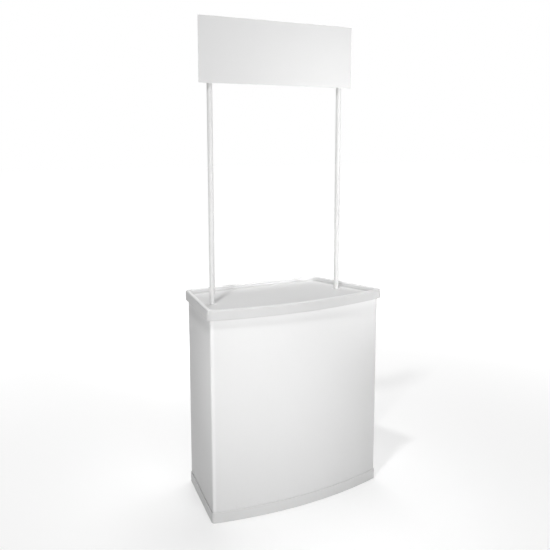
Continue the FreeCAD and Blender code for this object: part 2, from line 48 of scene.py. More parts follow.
pad_places_mm = [(-377, -160.5), (377, -160.5), (-302.5, 205.5), (302.5, 205.5), (0, -205.5), (0, 205.5)]
rubber_grey = (0.13, 0.13, 0.13, 1)
dust_grey = (0.42, 0.41, 0.39, 1)


class Field:
    """A value that changes over a surface: one output socket, and the sums that can be done with it."""

    def __init__(self, tree, socket=None):
        self.tree = tree
        self.socket = socket

    def feed(self, node, sockets):
        """Set the sockets of a node, or link them where the value changes over the surface."""
        for name, value in sockets.items():
            if isinstance(value, Field):
                self.tree.links.new(value.socket, node.inputs[name])
            else:
                node.inputs[name].default_value = value
        return node

    def node(self, kind, settings, sockets, output=0):
        """Add a node of a kind, make its settings, feed its sockets and hand on one of its outputs."""
        made = self.tree.nodes.new(kind)
        for name, value in settings.items():
            setattr(made, name, value)
        return Field(self.tree, self.feed(made, sockets).outputs[output])

    def sum(self, operation, first, second):
        """One sum of two values, by the name of a Math node's operation."""
        return self.node("ShaderNodeMath", {"operation": operation}, {0: first, 1: second})

    def __add__(self, other):
        return self.sum("ADD", self, other)

    def __radd__(self, other):
        return self.sum("ADD", other, self)

    def __sub__(self, other):
        return self.sum("SUBTRACT", self, other)

    def __rsub__(self, other):
        return self.sum("SUBTRACT", other, self)

    def __mul__(self, other):
        return self.sum("MULTIPLY", self, other)

    def __rmul__(self, other):
        return self.sum("MULTIPLY", other, self)

    def between(self, low, high):
        """0 below low, 1 above high and a smooth rise between them; a fall where low is the greater."""
        ends = {"From Min": low, "From Max": high}
        return self.node("ShaderNodeMapRange", {"interpolation_type": "SMOOTHSTEP"}, {"Value": self, **ends})

    def stretched(self, x, y, z):
        """The same coordinates drawn out along the axes."""
        return self.node("ShaderNodeMapping", {}, {"Vector": self, "Scale": (x, y, z)})

    def noise(self, scale, detail=2.0, rough=0.5):
        """Cloudy noise over coordinates, from 0 to 1, with scale patches to the metre."""
        sockets = {"Vector": self, "Scale": scale, "Detail": detail, "Roughness": rough}
        return self.node("ShaderNodeTexNoise", {}, sockets)

    def axis(self, name):
        """One of the three coordinates: X, Y or Z."""
        return self.node("ShaderNodeSeparateXYZ", {}, {"Vector": self}, output=name)

    def tint(self, first, second):
        """A colour between two, by this value."""
        return self.node("ShaderNodeMix", {"data_type": "RGBA"}, {0: self, 6: first, 7: second}, output=2)


def start_material(name):
    """A new material, the object coordinates in it as a field, and its shader."""
    material = bpy.data.materials.new(name)
    material.use_nodes = True
    shader = material.node_tree.nodes["Principled BSDF"]
    place = Field(material.node_tree).node("ShaderNodeTexCoord", {}, {}, output="Object")
    return material, place, shader


def relief(height, depth):
    """Turn a height field from 0 to 1 into a bent normal, as if the surface rose by depth."""
    return height.node("ShaderNodeBump", {}, {"Height": height, "Distance": depth, "Strength": 1.0})


def rounded(corners, radii, steps=5, closed=False, held=0.4):
    """A broken line with its corners rounded.

    The corner between the unit ways u and v becomes an arc of radius r about the point that lies
    r / sin(half) from the corner along u + v, where half is half of the angle between u and v. A point on
    the straight at each end of an arc, the share held of its radius away, keeps the straight flat when it
    is shaded.
    """
    corners = np.asarray(corners, float)
    radii = np.broadcast_to(np.asarray(radii, float), len(corners)).copy()
    back = np.roll(corners, 1, 0) - corners
    ahead = np.roll(corners, -1, 0) - corners
    if not closed:
        radii[[0, -1]] = 0
        back[0] = [-ahead[0][1], ahead[0][0]]
        ahead[-1] = [-back[-1][1], back[-1][0]]
    back /= np.linalg.norm(back, axis=1, keepdims=True)
    ahead /= np.linalg.norm(ahead, axis=1, keepdims=True)
    half = np.arccos(np.clip((back * ahead).sum(1), -1, 1)) / 2
    middle = (back + ahead) / np.linalg.norm(back + ahead, axis=1, keepdims=True)
    first = back / np.tan(half)[:, None] - middle / np.sin(half)[:, None]
    last = ahead / np.tan(half)[:, None] - middle / np.sin(half)[:, None]
    sweep = (np.pi - 2 * half)[:, None]
    share = np.linspace(0, 1, steps)
    start = np.sin(sweep * (1 - share)) / np.sin(sweep)
    finish = np.sin(sweep * share) / np.sin(sweep)
    ways = start[..., None] * first[:, None] + finish[..., None] * last[:, None]
    centres = corners + middle * (radii / np.sin(half))[:, None]
    arcs = centres[:, None] + ways * radii[:, None, None]
    tangent = radii / np.tan(half)
    spare = np.linalg.norm(np.roll(corners, -1, 0) - corners, axis=1) - tangent - np.roll(tangent, -1)
    before = arcs[:, :1] + (back * np.minimum(radii, np.roll(spare, 1))[:, None] * held)[:, None]
    after = arcs[:, -1:] + (ahead * np.minimum(radii, spare)[:, None] * held)[:, None]
    line = np.concatenate([before, arcs, after], 1).reshape(-1, 2)
    least_gap = 1e-8
    apart = np.linalg.norm(line - np.roll(line, 1, 0), axis=1) > least_gap
    apart[0] = apart[0] or not closed
    return line[apart]


def grid_skin(grid, round_rows=False, round_columns=False):
    """Join the points of a grid into quads, also from last to first where rows or columns run round."""
    rows, columns = grid.shape[:2]
    index = np.arange(rows * columns).reshape(rows, columns)
    below = index if round_rows else index[:-1]
    above = np.roll(index, -1, 0) if round_rows else index[1:]
    corners = [below, np.roll(below, -1, 1), np.roll(above, -1, 1), above]
    if not round_columns:
        corners = [corner[:, :-1] for corner in corners]
    return grid.reshape(-1, 3), [np.stack(corners, -1).reshape(-1, 4)]


def with_heights(flat, heights):
    """Add a height to each row of a grid of flat points."""
    heights = np.asarray(heights, float)[:, None, None]
    return np.concatenate([flat, np.broadcast_to(heights, flat.shape[:2] + (1,))], -1)


AXIS_ORDER = {"x": (2, 0, 1), "y": (1, 2, 0), "z": (0, 1, 2)}


def circle(radius, x, y, around=48):
    """Points evenly round a circle."""
    angle = np.arange(around) * 2 * np.pi / around
    return np.stack([x + radius * np.cos(angle), y + radius * np.sin(angle)], -1)


def turned(profile, centre, axis="z", around=48, ring=False):
    """Carry a profile of (radius, height) rows once round an axis: (r cos t, r sin t, h) at the angle t."""
    profile = np.asarray(profile, float)
    grid = with_heights(profile[:, None, :1] * circle(1, 0, 0, around), profile[:, 1])
    places = grid[..., AXIS_ORDER[axis]] + np.asarray(centre, float)
    return grid_skin(places, round_rows=ring, round_columns=True)


def joined(parts):
    """One list of places and of faces out of several, with places that coincide made one."""
    places = np.concatenate([part[0] for part in parts])
    starts = np.cumsum([0] + [len(part[0]) for part in parts])
    faces = [face + start for part, start in zip(parts, starts) for face in part[1]]
    _, first, same = np.unique(places.round(decimals=7), axis=0, return_index=True, return_inverse=True)
    same = same.reshape(-1)
    return places[first], [same[face] for face in faces]


def outwards(shell):
    """Turn all faces of a closed shell round if its signed volume says that they face inwards."""
    places, faces = shell
    fans = [face[:, [0, step, step + 1]] for face in faces for step in range(1, face.shape[1] - 1)]
    first, second, third = np.moveaxis(places[np.concatenate(fans)], 1, 0)
    volume = (first * np.cross(second, third)).sum()
    return shell if volume > 0 else (places, [face[:, ::-1] for face in faces])


def whole_faces(face):
    """Drop the corners of faces that fell together, and the faces that have fewer than three left."""
    kept = face != np.roll(face, -1, 1)
    counts = kept.sum(1)
    sizes = [size for size in range(3, face.shape[1] + 1) if (counts == size).any()]
    return [face[counts == size][kept[counts == size]].reshape(-1, size).tolist() for size in sizes]


def new_piece(name, shells, material, crease=32):
    """A mesh object of closed shells, smooth but for edges that turn by more than crease degrees."""
    shells = [outwards(joined(shell)) for shell in shells]
    starts = np.cumsum([0] + [len(shell[0]) for shell in shells])
    faces = [face + start for shell, start in zip(shells, starts) for face in shell[1]]
    lists = [part for face in faces for part in whole_faces(face)]
    mesh = bpy.data.meshes.new(name)
    mesh.from_pydata(np.concatenate([shell[0] for shell in shells]).tolist(), [], sum(lists, []))
    mesh.polygons.foreach_set("use_smooth", np.ones(len(mesh.polygons), bool))
    mesh.set_sharp_from_angle(angle=math.radians(crease))
    mesh.materials.append(material)
    piece = bpy.data.objects.new(name, mesh)
    bpy.context.scene.collection.objects.link(piece)
    return piece


pad_corners = [(0, 0), (pad_radius, 0), (pad_radius, pad_height), (0, pad_height)]
pad_profile = rounded(pad_corners, [0, pad_edge, pad_edge / 3, 0])
rubber, place, shader = start_material("grey_rubber")
dusty = place.axis("Z").between(pad_dust_high, 0) * place.noise(900, 3).between(0.35, 0.7)
place.feed(shader, {
    "Base Color": (dusty * 0.7).tint(rubber_grey, dust_grey),
    "Roughness": 0.72 + 0.2 * place.noise(500, 3),
    "Normal": relief(place.noise(2200, 3), 0.06 * mm),
})
pad_shells = [[turned(pad_profile, (x * mm, y * mm, 0))] for x, y in pad_places_mm]
feet = new_piece("rubber_feet", pad_shells, rubber)
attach(feet, "stand")
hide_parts("foot_pads")

# Base tray: the moulded foot of the counter. It has a groove all round that takes the folded sheet, an open
# basin, two sockets for the posts and ribs under its floor. Its white plastic has a fine grained finish from
# the mould.
half_front = 406 * mm
half_back = 320.5 * mm
fold_y = -171.5 * mm
back_y = 223.5 * mm
front_bow = 52 * mm
side_slope = (half_front - half_back) / (back_y - fold_y)
side_secant = math.hypot(1, side_slope)
bow_radius = (half_front ** 2 / front_bow + front_bow) / 2
bow_centre_y = fold_y - front_bow + bow_radius
post_x = 309.046 * mm
post_y = 8 * mm
side_names = {-1: "left", 1: "right"}
base_low = 3 * mm
base_high = 48 * mm
base_ceiling = 9 * mm
base_floor = 13 * mm
socket_radius = 16.3 * mm
socket_bore = 11.3 * mm
rib_pitch = 92 * mm
rib_places = np.arange(-2, 3) * rib_pitch
rib_half = 1.25 * mm
rib_let_in = 0.5 * mm
base_rib_end = -29.9 * mm
base_offsets_mm = [-30.4, -5.6, -2.6, 3.6]
base_bends_mm = [20, 8, 6.4, 12.6]
base_scuff_high = 30 * mm
lip_highlight_rise = (45 * mm, 47 * mm)
base_white = (0.655, 0.655, 0.655, 1)
base_shade = (0.635, 0.635, 0.633, 1)
# The lighter white of the painted light on the base's lip, the tray's rim and the sheet under the skirt.
painted_light_white = (0.73, 0.73, 0.73, 1)
scuff_grey = (0.50, 0.49, 0.48, 1)


def outline_parts(offset, corner, back_corner, along=120, bend=12):
    """The counter's plan moved outwards by offset, with its corners rounded, in eight parts anticlockwise.

    The front is an arc, the sides are splayed lines and the back is straight. The centre of a front corner
    lies where the side line, moved by offset - corner, meets the front arc moved as far. The centre of a
    back corner lies where the side line and the back line, both moved by offset - back_corner, meet.
    """
    offset = np.asarray(offset, float)
    corner = np.asarray(corner, float)
    back_corner = np.asarray(back_corner, float)
    moved = offset - corner
    back_moved = offset - back_corner
    radius = bow_radius + moved
    side_x = half_front + moved * side_secant - side_slope * (bow_centre_y - fold_y)
    reach = np.sqrt((side_secant * radius) ** 2 - side_x ** 2)
    drop = (reach - side_slope * side_x) / side_secant ** 2
    front = np.stack([side_x + side_slope * drop, bow_centre_y - drop], -1)
    rear_y = back_y + back_moved
    rear = np.stack([half_front + back_moved * side_secant - side_slope * (rear_y - fold_y), rear_y], -1)
    front_way = np.arctan2(front[..., 1] - bow_centre_y, front[..., 0])
    side_way = np.full_like(front_way, math.atan(side_slope))
    back_way = np.full_like(front_way, np.pi / 2)
    mirror = np.array([-1, 1])
    bow_centre = np.broadcast_to([0, bow_centre_y], front.shape)

    def arc(centre, size, start, finish, count):
        """Points on an arc about a centre, from one angle to another."""
        angle = np.linspace(start, finish, count, axis=-1)
        spokes = np.stack([np.cos(angle), np.sin(angle)], -1)
        return centre[..., None, :] + size[..., None, None] * spokes

    def straight(start, finish):
        """Points on the straight from the end of one arc to the start of the next."""
        share = np.array([0.03, 0.35, 0.65, 0.97])[:, None]
        return start[..., -1:, :] * (1 - share) + finish[..., :1, :] * share

    bow = arc(bow_centre, bow_radius + offset, -np.pi - front_way, front_way, along)[..., 1:-1, :]
    front_right = arc(front, corner, front_way, side_way, bend)
    back_right = arc(rear, back_corner, side_way, back_way, bend)
    back_left = arc(rear * mirror, back_corner, back_way, np.pi - side_way, bend)
    front_left = arc(front * mirror, corner, np.pi - side_way, np.pi - front_way, bend)
    return [
        bow, front_right, straight(front_right, back_right), back_right,
        straight(back_right, back_left), back_left, straight(back_left, front_left), front_left,
    ]


def carried(profile, corner_at, back_corner_at):
    """Carry a profile of (offset, height) rows round the plan, with corners that follow from the offset."""
    offset = profile[:, 0]
    parts = outline_parts(offset, corner_at(offset), back_corner_at(offset))
    return with_heights(np.concatenate(parts, -2), profile[:, 1])


def plate(rim, holes, height, faces_up):
    """Fill the flat area inside a rim and outside the holes in it with triangles."""
    loops = [rim] + holes
    starts = np.cumsum([0] + [len(loop) for loop in loops]).tolist()
    rings = [list(range(start, end)) for start, end in zip(starts[:-1], starts[1:])]
    flat = np.concatenate(loops)
    points = [Vector(point) for point in flat.tolist()]
    inside_only = 1
    same_place = 1e-9
    _, _, faces, sources, _, origins = delaunay_2d_cdt(points, [], rings, inside_only, same_place)
    flat = flat[[source[0] for source in sources]]
    inside = np.array([face for face, origin in zip(faces, origins) if list(origin) == [0]])
    places = np.concatenate([flat, np.full((len(flat), 1), height)], 1)
    return places, [inside if faces_up else inside[:, ::-1]]


def risen(section, low, high, axis="z", edge=0.4 * mm, steps=3):
    """Raise a closed outline from low to high along an axis, with rims rounded by edge.

    At the angle a of the rim's quarter turn the outline is drawn in by edge * (1 - sin a) along its mitred
    normals and stands edge * (1 - cos a) inside the end. A ring 2 * edge away on each side keeps ends and
    walls flat.
    """
    section = np.asarray(section, float)
    way = np.roll(section, -1, 0) - section
    normal = np.stack([way[:, 1], -way[:, 0]], -1) / np.linalg.norm(way, axis=1, keepdims=True)
    before = np.roll(normal, 1, 0)
    mitre = (normal + before) / (1 + (normal * before).sum(1, keepdims=True))
    angle = np.linspace(0, np.pi / 2, steps)
    drawn = edge * np.concatenate([[2], 1 - np.sin(angle), [0]])
    stand = edge * np.concatenate([[0], 1 - np.cos(angle), [2]])
    inset = np.concatenate([drawn, drawn[::-1]])
    heights = np.concatenate([low + stand, (high - stand)[::-1]])
    grid = with_heights(section - inset[:, None, None] * mitre, heights)
    places, faces = grid_skin(grid[..., AXIS_ORDER[axis]], round_columns=True)
    count = len(section)
    ends = np.stack([np.arange(count)[::-1], np.arange(count) + len(places) - count])
    return places, faces + [ends]


def box_section(across, up):
    """The corners of an upright rectangle as (up, across), the order that risen takes along Y."""
    return np.array([(up[0], across[0]), (up[1], across[0]), (up[1], across[1]), (up[0], across[1])])


def cross_ribs(under, low, offset):
    """The row of ribs under a moulded board, let into it by rib_let_in.

    Each rib runs from the front arc moved by offset, which at x lies at
    bow_centre_y - sqrt((bow_radius + offset)^2 - x^2), to the back line moved as far.
    """
    fronts = bow_centre_y - np.sqrt((bow_radius + offset) ** 2 - rib_places ** 2)
    sections = [box_section((x - rib_half, x + rib_half), (low, under + rib_let_in)) for x in rib_places]
    return [[risen(section, front, back_y + offset, "y")] for section, front in zip(sections, fronts)]


def base_corner(offset):
    """The radius of the base's corners at an offset from the plan."""
    return np.interp(offset / mm, base_offsets_mm, base_bends_mm) * mm


def post_circles(radius):
    """A circle round the axis of each post, in plan."""
    return [circle(radius, side * post_x, post_y) for side in side_names]


def at_posts(profile):
    """A profile of (radius, height) rows turned round the axis of each post."""
    return [turned(profile, (side * post_x, post_y, 0)) for side in side_names]


base_corners_mm = [(-34, 9), (-30.4, 9), (-30.4, 3), (3.6, 3), (3.6, 48), (0.6, 48), (0.6, 8), (-2.6, 8),
                   (-2.6, 48), (-5.6, 48), (-5.6, 13), (-10, 13)]
base_rounds_mm = [0, 0.8, 0.8, 1.6, 1.2, 0.8, 0.5, 0.5, 0.8, 1.2, 2.5, 0]
base_skin = carried(rounded(base_corners_mm, base_rounds_mm) * mm, base_corner, base_corner)
socket_corners = [(socket_radius, base_floor), (socket_radius, base_high), (socket_bore, base_high),
                  (socket_bore, base_floor), (0, base_floor)]
socket_profile = rounded(socket_corners, np.array([0, 1, 0.8, 0.3, 0]) * mm)
base_shell = [
    grid_skin(base_skin, round_columns=True),
    plate(base_skin[-1, :, :2], post_circles(socket_radius), base_floor, faces_up=True),
    plate(base_skin[0, :, :2], [], base_ceiling, faces_up=False),
    *at_posts(socket_profile),
]


def moulded_plastic(name, white, shade, wear_at, sink_at=None, painted_light_at=None):
    """White moulded plastic with a cloudy tone and a fine grained finish.

    It is worn where wear_at puts it, has sink marks where sink_at puts them, and has a painted highlight, a
    lighter tone that stands in for light, where the last function puts it.
    """
    material, place, shader = start_material(name)
    cloud = place.noise(7, 3)
    fleck = place.noise(160, 4, 0.6).between(0.42, 0.75)
    worn = wear_at(place) * fleck
    grain = place.noise(1500, 2) * 0.7 + place.noise(420, 2) * 0.3
    height = grain - sink_at(place) if sink_at else grain
    tone = cloud.tint(shade, white)
    # Painted highlight: a lighter white where the last function puts it, standing in for light.
    tone = painted_light_at(place).tint(tone, painted_light_white) if painted_light_at else tone
    place.feed(shader, {
        "Base Color": worn.tint(tone, scuff_grey),
        "Roughness": 0.36 + 0.1 * cloud + 0.06 * grain + 0.2 * worn,
        "Normal": relief(height, 0.014 * mm),
        "Specular IOR Level": 0.45,
    })
    return material


def base_wear(place):
    """Dust and shoe scuffs low on the outside."""
    return place.axis("Z").between(base_scuff_high, base_low) * 0.2


def lip_painted_highlight(place):
    """A painted highlight along the upper edge of the base's lip, above the groove."""
    return place.axis("Z").between(*lip_highlight_rise)


base = new_piece("moulded_base", [base_shell] + cross_ribs(base_ceiling, base_low, base_rib_end),
                 moulded_plastic("base_moulding", base_white, base_shade, base_wear, painted_light_at=lip_painted_highlight))
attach(base, "stand")
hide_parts("base_tray")

# Body sheet: one white plastic sheet, extruded, cut and folded on four lines round the counter, with a short
# return beside the open back. It stands in the groove of the base, and the tray sits on its upper edge.
sheet_low = 8 * mm
sheet_high = 879 * mm
sheet_thickness = 2 * mm
fold_radius = 9 * mm
sheet_edge = 0.5 * mm
return_end = 284.5 * mm
points_along = 160
points_round = 80
fold_places_mm = [(-393, -176), (393, -176), (-313, 215), (313, 215)]
sheet_lean = 0.25 * mm
lean_fades = 70 * mm
lean_low = 50 * mm
lean_high = 840 * mm
wave_along = 40
wave_up = 6
wave_start = 1.1
fold_middle = (399.5 * mm, 175.5 * mm, 0)
front_fold_highlight_reach = (11 * mm, 3 * mm)
sheet_scuff_fall = (170 * mm, 50 * mm)
under_skirt_light_rise = (803 * mm, 835 * mm)
sheet_white = (0.695, 0.695, 0.695, 1)
sheet_shade = (0.67, 0.67, 0.67, 1)
# The lighter white of the painted highlight at the front folds.
fold_highlight_white = (0.78, 0.78, 0.78, 1)


def shares(line):
    """How far along a line each of its points lies, as a share of its length."""
    reach = np.concatenate([[0], np.cumsum(np.linalg.norm(np.diff(line, axis=0), axis=1))])
    return reach / reach[-1]


def denser(line, old, new):
    """Points of a line at new shares of its length, where old are the shares of its own points."""
    return np.stack([np.interp(new, old, line[:, axis]) for axis in (0, 1)], -1)


def sheet_plan(offset):
    """The plan of one face of the sheet, from the end of the left return round the front to the right one."""
    bend = fold_radius + offset
    bow, front_right, right, back_right, _, back_left, left, front_left = outline_parts(offset, bend, bend)
    ends = np.array([[-return_end, back_y + offset], [return_end, back_y + offset]])
    to_bow = [ends[:1], back_left, left, front_left]
    from_bow = [front_right, right, back_right, ends[1:]]
    return np.concatenate(to_bow + [bow] + from_bow)


outer_plan = sheet_plan(0.0)
own_shares = shares(outer_plan)
all_shares = np.unique(np.concatenate([own_shares, np.linspace(0, 1, points_along)]))
outer_plan = denser(outer_plan, own_shares, all_shares)
inner_plan = denser(sheet_plan(-sheet_thickness), own_shares, all_shares)
sheet_corners = [(0, sheet_low), (0, sheet_high), (sheet_thickness, sheet_high), (sheet_thickness, sheet_low)]
sheet_loop = rounded(sheet_corners, sheet_edge, 3, closed=True)
sheet_loop = np.concatenate([sheet_loop, sheet_loop[:1]])
loop_shares = shares(sheet_loop)
more_shares = np.unique(np.concatenate([loop_shares, np.linspace(0, 1, points_round)]))
sheet_loop = denser(sheet_loop, loop_shares, more_shares)[:-1]
fold_places = np.array(fold_places_mm) * mm
from_fold = np.linalg.norm(outer_plan[:, None] - fold_places, axis=-1).min(1) / lean_fades
from_edge = np.minimum(sheet_loop[:, 1] - lean_low, lean_high - sheet_loop[:, 1]) / lean_fades
# The lean is a slow wave along the sheet times a slower one up it, faded out at the folds and the held edges.
wave = np.sin(wave_along * all_shares) * np.sin(wave_up * sheet_loop[:, 1:] + wave_start)
lean = sheet_lean * wave * np.clip(from_fold, 0, 1) ** 2 * np.clip(from_edge, 0, 1)[:, None] ** 2
through = (inner_plan - outer_plan) / sheet_thickness
sheet_grid = with_heights(outer_plan + (sheet_loop[:, :1] - lean)[..., None] * through, sheet_loop[:, 1])
sheet_places, sheet_faces = grid_skin(sheet_grid, round_rows=True)
rows, columns = sheet_grid.shape[:2]
left_end = np.arange(rows) * columns
sheet_ends = np.stack([left_end, (left_end + columns - 1)[::-1]])

sheet_plastic, place, shader = start_material("folded_sheet_white")
streak = place.stretched(1, 1, 0.02).noise(260, 3)
cloud = place.noise(5, 3)
# Painted highlight: a lighter strip down the two front folds of the sheet.
away = place.node("ShaderNodeVectorMath", {"operation": "ABSOLUTE"}, {0: place.stretched(1, 1, 0)})
fold_ends = {0: away, 1: fold_middle}
fold_gap = away.node("ShaderNodeVectorMath", {"operation": "DISTANCE"}, fold_ends, output="Value")
front_fold_highlight = fold_gap.between(*front_fold_highlight_reach) * 0.5
scuffs = place.noise(70, 5, 0.65).between(0.55, 0.8)
low_scuff = place.axis("Z").between(*sheet_scuff_fall) * scuffs * 0.2
# Painted light: the strip behind and just below the tray's skirt is lighter, filling in the skirt's shadow.
under_skirt_painted_light = place.axis("Z").between(*under_skirt_light_rise)
tone = under_skirt_painted_light.tint((0.6 * cloud + 0.4 * streak).tint(sheet_shade, sheet_white), painted_light_white)
place.feed(shader, {
    "Base Color": low_scuff.tint(front_fold_highlight.tint(tone, fold_highlight_white), scuff_grey),
    "Roughness": 0.40 + 0.1 * streak + 0.08 * cloud + 0.2 * low_scuff,
    "Normal": relief(0.7 * streak + 0.3 * place.noise(1200, 2), 0.02 * mm),
    "Specular IOR Level": 0.45,
})
sheet = new_piece("folded_sheet", [[(sheet_places, sheet_faces + [sheet_ends])]], sheet_plastic)
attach(sheet, "stand")
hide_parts("body_sheet")

# Push rivets: four white plastic rivets that hold the returns of the sheet to the back wall of the base. Each
# has a domed head with a sunk pin, and its tail is spread inside the basin.
rivet_places_mm = [-305, -291, 291, 305]
rivet_z = 28 * mm
rivet_around = 32
rivet_corners_mm = [(0, 215.4), (3, 215.4), (4, 216.8), (4, 217.9), (3, 217.9), (3, 227.1), (5.5, 227.1),
                    (5.5, 228.2), (3.6, 229.1), (2.2, 229.1), (2.0, 228.5), (0, 228.7)]
rivet_rounds_mm = [0, 0.3, 0.5, 0.2, 0.2, 0.2, 0.2, 0.5, 1.0, 0.1, 0.1, 0]
fitting_white = (0.68, 0.68, 0.675, 1)
fitting_shade = (0.64, 0.64, 0.635, 1)


def fitting_plastic(name):
    """White nylon of the small fittings: an even tone with faint flow marks and a satin skin."""
    material, place, shader = start_material(name)
    flow = place.noise(90, 3)
    grain = place.noise(1800, 2)
    place.feed(shader, {
        "Base Color": flow.tint(fitting_shade, fitting_white),
        "Roughness": 0.34 + 0.14 * flow + 0.05 * grain,
        "Normal": relief(grain, 0.015 * mm),
    })
    return material


nylon = fitting_plastic("fitting_nylon")
rivet_profile = rounded(rivet_corners_mm, rivet_rounds_mm, 4) * mm
rivet_shells = [[turned(rivet_profile, (x * mm, 0, rivet_z), "y", rivet_around)] for x in rivet_places_mm]
rivets = new_piece("push_rivets", rivet_shells, nylon)
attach(rivets, "stand")
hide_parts("base_rivets")

# Posts: two thin steel tubes, coated white, that stand in the sockets of the base. They carry the shelf
# collars and take the spigots of the poles in their upper ends.
tube_radius = 11 * mm
tube_bore = 9.5 * mm
tube_edge = 0.35 * mm
post_low = 13 * mm
post_high = 855 * mm
slide_rub_rise = (400 * mm, 428 * mm)
slide_rub_fall = (480 * mm, 440 * mm)
spigot_rub_rise = (835 * mm, 850 * mm)
coat_white = (0.73, 0.73, 0.73, 1)
coat_shade = (0.71, 0.71, 0.705, 1)
rub_grey = (0.62, 0.615, 0.60, 1)


def tube(low, high, x):
    """A plain tube with its four end edges broken."""
    corners = [(tube_bore, low), (tube_radius, low), (tube_radius, high), (tube_bore, high)]
    return [turned(rounded(corners, tube_edge, 3, closed=True), (x, post_y, 0), ring=True)]


def coated_steel(name, rub_at):
    """White powder coat on tube: orange peel, a soft gloss, and faint rub marks where rub_at puts them."""
    material, place, shader = start_material(name)
    peel = place.noise(620, 2)
    cloud = place.noise(12, 3)
    rub = rub_at(place) * place.stretched(1, 1, 0.15).noise(700, 4, 0.6).between(0.5, 0.75)
    place.feed(shader, {
        "Base Color": rub.tint(cloud.tint(coat_shade, coat_white), rub_grey),
        "Roughness": 0.24 + 0.1 * cloud + 0.08 * peel + 0.2 * rub,
        "Normal": relief(peel, 0.008 * mm),
    })
    return material


def post_rub(place):
    """Marks where the collars are slid along and where the spigots go in."""
    height = place.axis("Z")
    slid = 0.5 * height.between(*slide_rub_rise) * height.between(*slide_rub_fall)
    return slid + 0.4 * height.between(*spigot_rub_rise)


post_coat = coated_steel("post_coat", post_rub)
for side, name in side_names.items():
    post = new_piece("post_tube_" + name, [tube(post_low, post_high, side * post_x)], post_coat)
    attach(post, "stand")
    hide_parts("post_" + name)

# Shelf collars: two white nylon clamp rings on the posts. Each is split on one side between two ears, and the
# shelf rests on their upper faces.
collar_low = 425 * mm
collar_high = 437 * mm
collar_radius = 16.3 * mm
collar_bore = 11.3 * mm
slit_half = 1 * mm
ear_half = 8 * mm
ear_end = 27.3 * mm
ear_round = 1.5 * mm


def spokes(radius, start, finish, count):
    """Points on a circle from one angle to another, both in degrees."""
    angle = np.radians(np.linspace(start, finish, count))
    return radius * np.stack([np.cos(angle), np.sin(angle)], -1)


ear_way = math.degrees(math.acos(ear_half / collar_radius))
slit_way = math.degrees(math.acos(slit_half / collar_bore))
collar_line = np.concatenate([
    spokes(collar_radius, 180 - ear_way, 360 + ear_way, 40),
    [(ear_half, ear_end), (slit_half, ear_end)],
    spokes(collar_bore, slit_way, -180 - slit_way, 56),
    [(-slit_half, ear_end), (-ear_half, ear_end)],
])
at_ear_corner = np.isclose(abs(collar_line[:, 0]), ear_half) & np.isclose(collar_line[:, 1], ear_end)
collar_rounds = np.where(at_ear_corner, ear_round, 0)
collar_section = rounded(collar_line, collar_rounds, 4, closed=True)
for side, name in side_names.items():
    ring = risen(collar_section + [side * post_x, post_y], collar_low, collar_high)
    collar = new_piece("clamp_collar_" + name, [[ring]], nylon)
    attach(collar, "stand")
    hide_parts("shelf_collar_" + name)

# Clamp screws: one zinc plated socket screw through the ears of each collar. The head has a turned edge and a
# hexagon socket.
screw_y = 29.8 * mm
screw_z = 431 * mm
screw_corners_mm = [(0, -16), (1.7, -16), (2, -15.6), (2, 0), (3.5, 0), (3.5, 3.5), (1.7, 3.5), (1.6, 1.6),
                    (0, 1.6)]
screw_rounds_mm = [0, 0.1, 0.1, 0.1, 0.2, 0.5, 0.1, 0, 0]
screw_around = 48
drive_radius = 1.75 * mm
drive_low = 1 * mm
flat_turn = np.pi / 3
zinc = (0.62, 0.63, 0.65, 1)
zinc_dull = (0.50, 0.51, 0.52, 1)
screw_profile = rounded(screw_corners_mm, screw_rounds_mm, 4) * mm
screw_places, screw_faces = turned(screw_profile, (0, 0, 0), "x", screw_around)
# The socket's rows go from round to six flats: radius over the cosine of the angle from the middle of a flat.
in_socket = (screw_profile[:, 0] < drive_radius) & (screw_profile[:, 1] > drive_low)
screw_angle = np.arange(screw_around) * 2 * np.pi / screw_around
flat_angle = (screw_angle + flat_turn / 2) % flat_turn - flat_turn / 2
widen = np.where(in_socket[:, None], 1 / np.cos(flat_angle), 1)
screw_places = screw_places * np.stack([np.ones_like(widen), widen, widen], -1).reshape(-1, 3)
plated, place, shader = start_material("zinc_plate")
brushed = place.stretched(1, 0.2, 0.2).noise(2600, 3)
place.feed(shader, {
    "Base Color": place.noise(420, 3).tint(zinc_dull, zinc),
    "Metallic": 1.0,
    "Roughness": 0.3 + 0.2 * brushed,
    "Normal": relief(brushed, 0.01 * mm),
})
screw_spots = [(side * post_x + ear_half, screw_y, screw_z) for side in side_names]
screw_shells = [[(screw_places + spot, screw_faces)] for spot in screw_spots]
screws = new_piece("socket_screws", screw_shells, plated)
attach(screws, "stand")
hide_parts("collar_screws")

# Shelf: a moulded white board inside the body with a turned-down rim, ribs underneath and a boss round each
# post. It is threaded on the posts and rests on the collars.
shelf_top = 455 * mm
shelf_under = 452 * mm
shelf_low = 437 * mm
shelf_rib_low = 440 * mm
shelf_rib_end = -7.5 * mm
shelf_bend = 20 * mm
shelf_rub_low = 454 * mm
boss_radius = 16.3 * mm
boss_bore = 11.3 * mm


def shelf_corner(offset):
    """The radius of the shelf's corners at an offset from the plan."""
    return shelf_bend + offset


